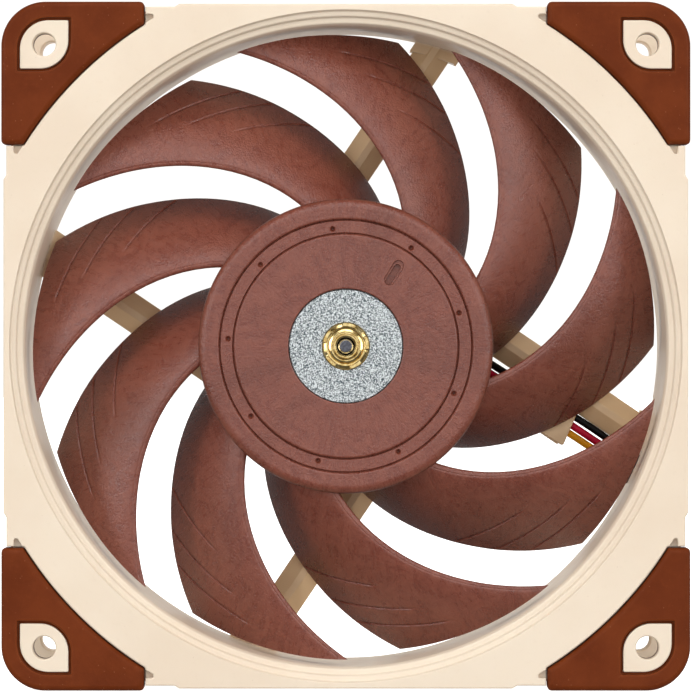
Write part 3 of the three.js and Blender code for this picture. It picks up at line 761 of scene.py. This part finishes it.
def build_pads(look):
    """Each pad is a cap over the corner plate, with an opening for the leaf boss."""
    wall = HALF - PLATE_HALF - 0.3
    centre, radius = HALF - PAD_CORNER_R, PAD_CORNER_R - wall

    def hollow_outline(grow):
        out = HALF - wall
        return [(20, 20), (out, 20), *arc(centre, centre, radius, 0, 90, 24), (20, out)]

    hollow = stack(hollow_outline, [(0, -PAD_SKIRT - 1), (0, -PAD_PLATE)])
    gap = LEAF_SEAM
    leaf = stack(leaf_outline, [(0.06, -PAD_SKIRT - 1), (0.06, -1.15), (gap, -1.05),
                                (gap, -0.45), (gap + 0.12, -0.14), (gap + 0.45, 0),
                                (gap + 1.45, 1)])
    pad = mesh_object("pad", prism(pad_outline, -PAD_SKIRT, 0, 0.4, 1.0))
    body = taken(boolean(pad, "DIFFERENCE", hollow, leaf))
    for i, corner in enumerate(["top_right", "top_left", "bottom_left", "bottom_right"]):
        turned_body = spun(body, i * 90)
        for side in ("front", "back"):
            shape = turned_body if side == "front" else mirrored(turned_body)
            obj = mesh_object(f"{side}_cushion_{corner}", shape)
            settle(obj, "housing", look, "pad", f"{side}_pad_{corner}")


# ---- impeller ----
DOT_RING_R = 20.57
FIRST_DOT = 16.4                  # degrees from +u
MARK_AT = (8.4, 12.8)
MARK_TURN = 58
HUB_LINE = HUB_FACE - 0.75        # floor of the two thin grooves in the hub's face
HUB_BAND = HUB_FACE - 0.35        # the band between them
GROOVES = (39.7, 45.0, 49.0)      # radius of each flow channel at the trailing edge
GROOVE_STEPS = (-0.55, -0.32, -0.16, -0.06, 0.06, 0.16, 0.32, 0.55)
GROOVE_RISE = 0.165               # millimetres outwards per degree towards the leading edge
GROOVE_DEPTH = 0.26
BEAD_AT = 0.026                   # share of the chord where a shallow line parts off the edge
BEAD_DEPTH = 0.12
BLADE_LEAD = (-3.6, -6.5)         # depth of the leading edge at the root and at the tip
BLADE_TRAIL = (-18.6, -19.4)
BLADE_THICK = (2.6, 1.9)
BLADE_CAMBER = 0.07               # share of the chord


def leading_angle(r):
    return -10.6 + 1.4713 * r


def trailing_angle(r):
    return 39.3 + 1.395 * (r - 54.4) - 2.04 * (max(0, 44 - r) / 13.66) ** 2


def along(r, at_root, at_tip):
    return at_root + (at_tip - at_root) * (r - ROOT_R) / (TIP_R - ROOT_R)


def smooth(x, low, high):
    """0 below low and 1 above high, or the other way round, with a soft slope between."""
    s = min(1, max(0, (x - low) / (high - low)))
    return s * s * (3 - 2 * s)


def blade_point(row, c, side):
    """A point of the blade at the share c of the chord; rows follow the flow channels."""
    sway = smooth(row, ROOT_R, 37) * smooth(row, TIP_R, 50.5)
    r = row + sway * GROOVE_RISE * 30 * (1 - max(c, 0.35))
    arc_length = r * math.radians(leading_angle(r) - trailing_angle(r))
    lead = along(r, *BLADE_LEAD)
    drop = lead - along(r, *BLADE_TRAIL)
    chord = math.hypot(arc_length, drop)
    half = 0.5 * (0.2969 * math.sqrt(c) - 0.126 * c - 0.3516 * c ** 2 + 0.2843 * c ** 3
                  - 0.1036 * c ** 4) * 10 * (1 - 0.1 * c)
    half += 0.1 * math.sqrt(min(1, c / 0.03))                     # blunter in front
    half *= math.sqrt(max(0.1, 1 - max(0, (c - 0.985) / 0.015) ** 2))
    lift = BLADE_CAMBER * chord * 4 * c * (1 - c) + side * along(r, *BLADE_THICK) * half
    if side > 0:
        near = min(abs(row - g) for g in GROOVES)
        fade = smooth(c, 0.40, 0.52) * smooth(c, 1.0, 0.96)
        lift -= GROOVE_DEPTH * fade * (1 - smooth(near, 0.05, 0.33))
        lift -= BEAD_DEPTH * (1 - smooth(abs(c - BEAD_AT), 0, 0.009))
    a = math.radians(leading_angle(r)) - (arc_length * c + drop / chord * lift) / r
    return r * math.cos(a), r * math.sin(a), lead - drop * c + arc_length / chord * lift


def blade():
    count = 46
    shares = [0.96 * (i / count) ** 1.6 for i in range(count + 1)] + [0.975, 0.985, 0.993, 1]
    shares = sorted(shares + [BEAD_AT - 0.004, BEAD_AT, BEAD_AT + 0.004])
    rows = [ROOT_R + (TIP_R - ROOT_R) * i / 24 for i in range(25)]
    rows = [r for r in rows if min(abs(r - g) for g in GROOVES) > 0.6]
    rows = sorted(rows + [g + step for g in GROOVES for step in GROOVE_STEPS])
    loops = []
    for row in rows:
        front = [blade_point(row, c, 1) for c in shares]
        back = [blade_point(row, c, -1) for c in reversed(shares[1:])]
        loops.append(front + back)
    return skin(loops, strips=True)


def build_impeller(look):
    """The hub with its grooves, dots and oval recess, and nine blades."""
    inner = HUB_R - HUB_WALL
    shoulder = 1.6
    rim = [(HUB_R - shoulder + u, HUB_FACE - shoulder + v)
           for u, v in arc(0, 0, shoulder, 90, 0, 10)]
    face = eased([(DISC_R, -2.9, 0.05), (DISC_R, HUB_FACE, 0.3), (19.5, HUB_FACE, 0.5),
                  (19.64, HUB_LINE, 0.05), (19.84, HUB_BAND, 0.12),
                  (21.84, HUB_BAND, 0.12), (22.04, HUB_LINE, 0.05),
                  (22.2, HUB_FACE, 0.7), (HUB_R - shoulder, HUB_FACE, 0.01),
                  (HUB_R, HUB_BACK, 0.2), (inner, HUB_BACK, 0.2), (inner, -2.9, 0.3)], 0.1)
    corner = [i for i, (r, _) in enumerate(face) if abs(r - HUB_R + shoulder) < 0.02]
    face[corner[0]:corner[-1] + 1] = rim
    obj = mesh_object("impeller_moulding", turned(face, 288))
    boolean(obj, "UNION", spun(blade(), *[k * 360 / BLADES for k in range(BLADES)]))
    dot = turned([(0, -2.75), (0.1, -2.75), (0.46, HUB_FACE - 0.45), (0.56, HUB_FACE - 0.3),
                  (0.9, -1), (0, -1)], 20)
    dots = spun(moved(dot, DOT_RING_R, 0), *[FIRST_DOT + k * 360 / BLADES for k in range(BLADES)])

    def mark_outline(grow):
        radius = 1 + grow
        return [*arc(1.45, 0, radius, -90, 90, 16), *arc(-1.45, 0, radius, 90, 270, 16)]

    mark = stack(mark_outline, [(-0.3, HUB_FACE - 0.34), (-0.12, HUB_FACE - 0.3),
                                (0, HUB_FACE), (0.65, -1)])
    pit = moved(stack(mark_outline, [(-0.5, HUB_FACE - 0.9), (-0.4, HUB_FACE - 0.3),
                                     (-0.4, -1)]), -0.35, 0)
    placed = [moved(spun(shape, MARK_TURN), *MARK_AT) for shape in (mark, pit)]
    boolean(obj, "DIFFERENCE", dots, *placed)
    settle(obj, "rotor", look, "impeller", "impeller", smooth=32)


# ---- rotor, base and wires ----
def build_rotor(looks):
    """The steel cup, the brass bushing with its crenellated rim, and the shaft."""
    yoke = eased([(4.16, -3.1, 0.05), (4.16, -2.05, 0.1), (9.88, -2.05, 0.1), (9.9, -3.2, 0.1),
                  (23.7, -3.2, 0.3), (24.3, -3.8, 0.3), (24.3, -18.5, 0.1), (23.4, -18.5, 0.1),
                  (23.4, -4.2, 0.4), (9, -4.2, 0.2), (8.6, -3.1, 0.1)], 0.1)
    obj = mesh_object("yoke_pressing", turned(yoke, 160))
    settle(obj, "rotor", looks["yoke_steel"], "yoke_steel", "rotor_yoke")

    rim = 3.44

    def crenellated(r, t, a):
        """Ten facets round the rim, every other one slanting outwards a little lower."""
        if r < rim:
            return r, t
        share = (a * 5 / (2 * math.pi) + 0.1) % 1
        low = smooth(share, 0.45, 0.48) * smooth(share, 1, 0.97)
        return r - low * 0.16, t - low * (0.05 + 0.5 * (r - rim))

    bush = eased([(1.5, -6.6, 0.05), (4.1, -6.6, 0.05), (4.1, -1.45, 0.06), (4, -1.36, 0.02),
                  (3.5, -1.33, 0.03), (3.42, -1.4, 0.02), (3.36, -1.75, 0.03),
                  (3.15, -1.8, 0.05), (2.62, -1.5, 0.04), (2.5, -1.5, 0.03), (2.44, -1.62, 0.03),
                  (2.2, -1.55, 0.04), (2.12, -1.32, 0.05), (1.85, -1.3, 0.05),
                  (1.58, -1.5, 0.05), (1.5, -2.1, 0.05)], 0.05)
    obj = mesh_object("bushing_turned", turned(bush, 360, crenellated))
    settle(obj, "rotor", looks["brass"], "brass", "shaft_bushing", smooth=24)
    pin = eased([(POLE, -22, SHARP), (0.9, -22, 0.05), (1.3, -21.6, 0.05), (1.3, -20.3, 0.05),
                 (0.9, -20.2, 0.05), (0.9, -19.6, 0.05), (1.3, -19.5, 0.05), (1.3, -1.7, 0.05),
                 (0.95, -1.42, 0.04), (POLE, -1.4, SHARP)], 0.05)
    obj = mesh_object("shaft_pin", turned(pin, 64))
    settle(obj, "rotor", looks["shaft_steel"], "shaft_steel", "shaft")


def tube(path, radius, sides):
    """A closed round tube along a path, with its section turning as little as it can."""
    points = [Vector(p) for p in path]
    tangents = []
    for i in range(len(points)):
        ahead = points[min(i + 1, len(points) - 1)]
        tangents.append((ahead - points[max(i - 1, 0)]).normalized())
    side = tangents[0].orthogonal().normalized()
    loops = []
    for point, tangent in zip(points, tangents):
        side = (side - tangent * side.dot(tangent)).normalized()
        up = tangent.cross(side)
        loop = []
        for k in range(sides):
            a = 2 * math.pi * k / sides
            loop.append(tuple(point + (side * math.cos(a) + up * math.sin(a)) * radius))
        loops.append(loop)
    return skin(loops)


def through(points, spacing):
    """A smooth path through points, with a point about every `spacing`."""
    points = [Vector(p) for p in points]
    ends = [points[0] * 2 - points[1], *points, points[-1] * 2 - points[-2]]
    path = []
    for a, b, c, d in zip(ends, ends[1:], ends[2:], ends[3:]):
        count = max(1, round((c - b).length / spacing))
        for i in range(count):
            s = i / count
            path.append(0.5 * (2 * b + (c - a) * s + (2 * a - 5 * b + 4 * c - d) * s * s
                               + (3 * b - a - 3 * c + d) * s ** 3))
    path.append(points[-1])
    return path


def build_wires(looks):
    """Three wires side by side along the strut, from the board to the boot."""
    for lane, colour in enumerate(("black", "red", "yellow")):
        shift = lane * WIRE_PITCH - WIRE_LIFT
        sway = (0.05, -0.04, 0.03)[lane]
        route = [(13.5, 11.5, -20.15), (17, 11.55, -20.15), (20.5, 11.6, -20.2),
                 (23, 11.65, -20.6), (26, 11.75, -21.4), (30, 11.9 + sway, -21.95),
                 (35, 12.05 - sway, -22), (44, 12.2 + sway, -22), (50, 12.2, -22),
                 (54.3, 12.2, -22)]
        path = through([(s, n - shift, t) for s, n, t in route], 0.5)
        obj = mesh_object(f"lead_{colour}", spun(tube(path, WIRE_R, 20), WIRE_STRUT))
        settle(obj, "housing", looks[f"wire_{colour}"], f"wire_{colour}", f"wire_{colour}")


def build_boot(look):
    """The soft block in the frame's notch, with a groove along each side."""
    obj = mesh_object("exit_grommet", block(54.65, 60.05, 8.25, 13.55, -DEPTH + 0.12, -20.8, 0.6))
    grooves = [block(54.2, 61, v - 1, v + 0.6, -23.4, -22.6, 0.2) for v in (8, 14)]
    boolean(obj, "DIFFERENCE", *grooves)
    obj.data.transform(Matrix.Rotation(math.radians(WIRE_STRUT), 4, "Z"))
    settle(obj, "housing", look, "soft_black", "cable_boot")


def build_label(look):
    """A thin disc in the recess of the motor base."""
    back, front = -24.55, -24.1
    profile = eased([(POLE, back, SHARP), (22.2, back, 0.12), (22.3, front, 0.08),
                     (POLE, front, SHARP)], 0.1)
    obj = mesh_object("base_label", turned(profile, 160))
    settle(obj, "housing", look, "label", "back_label")


# ---- cable, in millimetres of the part's own axes ----
CABLE_ROUTE = [(53.8, 12.7, 36.9), (54, 15, 36.9), (54.5, 18.1, 36.3), (55, 20.7, 34.6),
               (55.4, 22.4, 32), (55.6, 23, 28.9), (55.6, 22.8, 24.6), (55.2, 22, 20.6),
               (54, 21, 16.8), (52, 20.2, 13.6), (49.6, 19.5, 10.8), (47.1, 18.9, 8),
               (44.7, 18.5, 5.5), (42.1, 18.4, 3.6), (39.4, 18.4, 2.4)]
LIE = CABLE_R + 0.05          # height of a lying cable's middle
HANK_LEFT = 26.1              # centre of the left fold, and of the right one
HANK_RIGHT = 47
RUN_Y = (18.4, 22, 36, 42)    # front run, the run beside it, the connector and the back run
TIE_X = (32.5, 35.5)
TIE_RISE = 0.45               # how much higher the cable lies on the band
PIN_PITCH = 2.54


def fold(x, run_a, run_b, start, end):
    """A half turn that leads from one run to another."""
    middle, radius = (run_a + run_b) / 2, abs(run_b - run_a) / 2
    return [(px, py, LIE) for px, py in arc(x, middle, radius, start, end, 12)]


def under_tie(y):
    """The cable rests on the band where it passes through it."""
    left, right = TIE_X
    return [(right + 1.5, y, LIE + 0.25), ((left + right) / 2, y, LIE + TIE_RISE),
            (left - 1.5, y, LIE + 0.25)]


def cable_path():
    """Down from the boot, then a flat hank of three runs that ends in the connector."""
    front, beside, plug, back = RUN_Y
    points = [*CABLE_ROUTE, *under_tie(front), *fold(HANK_LEFT, front, back, -90, -270),
              (38, back, LIE), *fold(HANK_RIGHT, back, beside, 90, -90), *under_tie(beside),
              *fold(HANK_LEFT + 1.5, beside, plug, -90, -270), (HANK_LEFT + 4.5, plug, LIE + 0.2)]
    end_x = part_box("connector")[0].x / MM
    points.append((end_x - 0.3, plug, 2.9))
    return [p * MM for p in through(points, 0.6)]


def build_cable(look):
    """The free lead, with its own length as one of its texture coordinates."""
    path = cable_path()
    sides = 24
    obj = mesh_object("sleeved_cable", tube(path, CABLE_R * MM, sides))
    uv = obj.data.uv_layers.new(name="UVMap")
    lengths = [0.0]
    for a, b in zip(path, path[1:]):
        lengths.append(lengths[-1] + (b - a).length)
    for face in obj.data.polygons:
        columns = [obj.data.loops[i].vertex_index % sides for i in face.loop_indices]
        wraps = 0 in columns and sides - 1 in columns
        for i, column in zip(face.loop_indices, columns):
            row = obj.data.loops[i].vertex_index // sides
            turn = (column + sides if wraps and column == 0 else column) / sides
            uv.data[i].uv = (turn, lengths[row])
    settle(obj, "housing", look, "sleeve", "cable_sleeve", "cable_hank", own_frame=False)
    return obj, path


def scaled(body):
    """A body in metres."""
    return [(x * MM, y * MM, z * MM) for x, y, z in body[0]], body[1]


def build_tie(look):
    """A flat band round the two runs at the front of the hank."""
    thick = 0.4
    y0, y1 = RUN_Y[0] - CABLE_R - 0.35, RUN_Y[1] + CABLE_R + 0.35
    top = LIE + TIE_RISE + CABLE_R + thick
    outer = eased([(y0, 0.02), (y1, 0.02), (y1, top), (y0, top)], 1.8)
    inner = eased([(y0 + thick, thick), (y1 - thick, thick), (y1 - thick, top - thick),
                   (y0 + thick, top - thick)], 1.4)
    loops = []
    for points, x in ((outer, TIE_X[0]), (outer, TIE_X[1]), (inner, TIE_X[1]), (inner, TIE_X[0])):
        loops.append([(x, y, z) for y, z in points])
    obj = mesh_object("hank_band", scaled(skin(loops, ring=True)))
    settle(obj, "housing", look, "soft_black", "cable_tie", own_frame=False)
    return obj


def build_connector(look):
    """A plug with three open ways, latch windows in its top and two grooves between them."""
    low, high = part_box("connector")
    low, high = low / MM, high / MM
    obj = mesh_object("plug_housing", block(low.x, high.x, low.y, high.y, low.z, high.z, 0.35))
    middle = (low.y + high.y) / 2
    cuts = []
    for i in (-1, 0, 1):
        y = middle + i * PIN_PITCH
        cuts.append(block(low.x - 1, high.x + 1, y - 0.95, y + 0.95, 1.6, 4.4, 0.15))
        cuts.append(block(low.x + 3, low.x + 6, y - 0.6, y + 0.6, 4, high.z + 1, 0.1))
    for y in (middle - PIN_PITCH / 2, middle + PIN_PITCH / 2):
        cuts.append(block(low.x - 1, high.x - 2, y - 0.15, y + 0.15, high.z - 0.4,
                          high.z + 1, 0.05))
    for cut in cuts:
        boolean(obj, "DIFFERENCE", cut)
    obj.data.transform(Matrix.Scale(MM, 4))
    settle(obj, "housing", look, "black_plastic", "connector", own_frame=False)
    return obj


# ---- surroundings ----
def softbox(name, place, size, watts):
    """A rectangular lamp aimed at the middle of the fan."""
    data = bpy.data.lights.new(name, "AREA")
    data.shape = "RECTANGLE"
    data.size, data.size_y = size
    data.energy = watts
    lamp = linked(name, data)
    lamp.location = place
    aim = AXIS - Vector(place)
    lamp.rotation_euler = aim.to_track_quat("-Z", "Y").to_euler()


def build_floor():
    """A white sweep: bright to the camera, and without glare on the object's undersides."""
    look = Look("studio_floor", Roughness=0.85)
    tone = look.noise(30, 3)
    look.link("Base Color", look.mix(tone, (0.9, 0.9, 0.9, 1), (0.92, 0.92, 0.92, 1)))
    look.shader.inputs["Emission Color"].default_value = (1, 1, 1, 1)
    look.shader.inputs["Emission Strength"].default_value = 0.9
    reach = 4
    mesh = bpy.data.meshes.new("floor")
    corners = [(-reach, -reach, FLOOR_Z), (reach, -reach, FLOOR_Z), (reach, reach, FLOOR_Z),
               (-reach, reach, FLOOR_Z)]
    mesh.from_pydata(corners, [], [(0, 1, 2, 3)])
    mesh.materials.append(look.material)
    floor = linked("floor", mesh)
    floor.visible_diffuse = False
    floor.visible_glossy = False


def build_world():
    """White to the camera; to surfaces a soft grey light, stronger from the white sweep
    behind the object. Reflections see it dim, but for the sweep straight behind."""
    world = bpy.data.worlds.new("studio")
    bpy.context.scene.world = world
    world.use_nodes = True
    nodes, links = world.node_tree.nodes, world.node_tree.links
    background = nodes["Background"]

    def ranged(value, low, high, from_low=0, from_high=1):
        node = nodes.new("ShaderNodeMapRange")
        links.new(value, node.inputs["Value"])
        node.inputs["From Min"].default_value = from_low
        node.inputs["From Max"].default_value = from_high
        for key, end in (("To Min", low), ("To Max", high)):
            if isinstance(end, bpy.types.NodeSocket):
                links.new(end, node.inputs[key])
            else:
                node.inputs[key].default_value = end
        return node.outputs[0]

    path = nodes.new("ShaderNodeLightPath")
    split = nodes.new("ShaderNodeSeparateXYZ")
    links.new(nodes.new("ShaderNodeTexCoord").outputs["Generated"], split.inputs[0])
    diffuse = ranged(split.outputs["Y"], 0.44, 1.4, -0.2, 0.6)
    glossy = ranged(split.outputs["Y"], 0.16, 0.9, 0.86, 0.97)
    unseen = ranged(path.outputs["Is Diffuse Ray"], glossy, diffuse)
    links.new(ranged(path.outputs["Is Camera Ray"], unseen, 1.1), background.inputs[1])
    background.inputs[0].default_value = (1, 0.985, 0.965, 1)


def build_studio():
    build_floor()
    build_world()
    softbox("front_softbox", (0, -1.5, 0.5), (2.2, 1.9), 14)
    softbox("top_softbox", (0, -0.8, 1.2), (1.0, 0.3), 5)
    softbox("left_softbox", (-1.2, -0.8, 0.3), (0.3, 1.0), 7.5)
    softbox("right_softbox", (1.2, -0.8, 0.3), (0.3, 1.0), 7.5)
    bpy.context.scene.view_settings.view_transform = "Standard"


# ---- assembly ----
make_camera()
looks = {
    "sleeve": braid(),
    "soft_black": plastic("soft_black_rubber", "0b0b0c", "1c1c1e", 0.6),
    "black_plastic": plastic("black_nylon", "0d0d0e", "202022", 0.42),
}
cable, cable_line = build_cable(looks["sleeve"])
band = build_tie(looks["soft_black"])
plug = build_connector(looks["black_plastic"])

looks.update({
    "frame": frame_plastic(),
    "pad": silicone(),
    "impeller": impeller_plastic(),
    "yoke_steel": speckled_steel(),
    "brass": metal("turned_brass", "b08d4a", "ead59c", 0.2),
    "shaft_steel": shaft_steel(),
    "terminal": metal("tinned_terminal", "9c9a94", "d8d6d0", 0.3),
    "sinter": metal("sintered_bronze", "8a5a34", "b98556", 0.5, depth=0.00003),
    "magnet": plastic("ferrite_magnet", "2b2927", "4a4744", 0.7, depth=0.00003),
    "white_plastic": plastic("natural_nylon", "e4dfd2", "f0ece2", 0.5),
    "laminate": layered("silicon_steel_stack", "5d6265", "a4a9ac", 0.5, 0.4, 0.9),
    "copper": layered("enamelled_copper", "7a3413", "c8713a", 0.35, 0.3, 1.0),
    "board": plastic("solder_mask", "174a29", "24643a", 0.35, Coat_Weight=0.3),
    "ceramic": plastic("ceramic_body", "a08a6c", "bba582", 0.5),
    "label": label_print(),
    "wire_black": plastic("black_insulation", "020202", "0b0b0c", 0.4,
                          Specular_IOR_Level=0.15),
    "wire_red": plastic("red_insulation", "a3082a", "bd1238", 0.4, Specular_IOR_Level=0.15),
    "wire_yellow": plastic("yellow_insulation", "bd7d06", "d59212", 0.4,
                           Specular_IOR_Level=0.15),
})
build_frame(looks["frame"])
build_pads(looks["pad"])
build_impeller(looks["impeller"])
build_rotor(looks)
build_wires(looks)
build_boot(looks["soft_black"])
build_label(looks["label"])

KEPT = {
    "magnet": ["magnet_ring"],
    "sinter": ["bearing_sleeve"],
    "brass": ["bearing_shell"],
    "white_plastic": ["oil_seal", "thrust_pad", "upper_insulator", "lower_insulator"],
    "black_plastic": ["retaining_clip", "driver_chip"],
    "ceramic": ["capacitor"],
    "laminate": ["stator_core"],
    "copper": ["coil_1", "coil_2", "coil_3", "coil_4"],
    "board": ["circuit_board"],
    "terminal": ["crimp_terminal_1", "crimp_terminal_2", "crimp_terminal_3"],
}
for slot, names in KEPT.items():
    for name in names:
        node = frame["nodes"][name]
        node.data.materials.clear()
        node.data.materials.append(looks[slot])

build_studio()
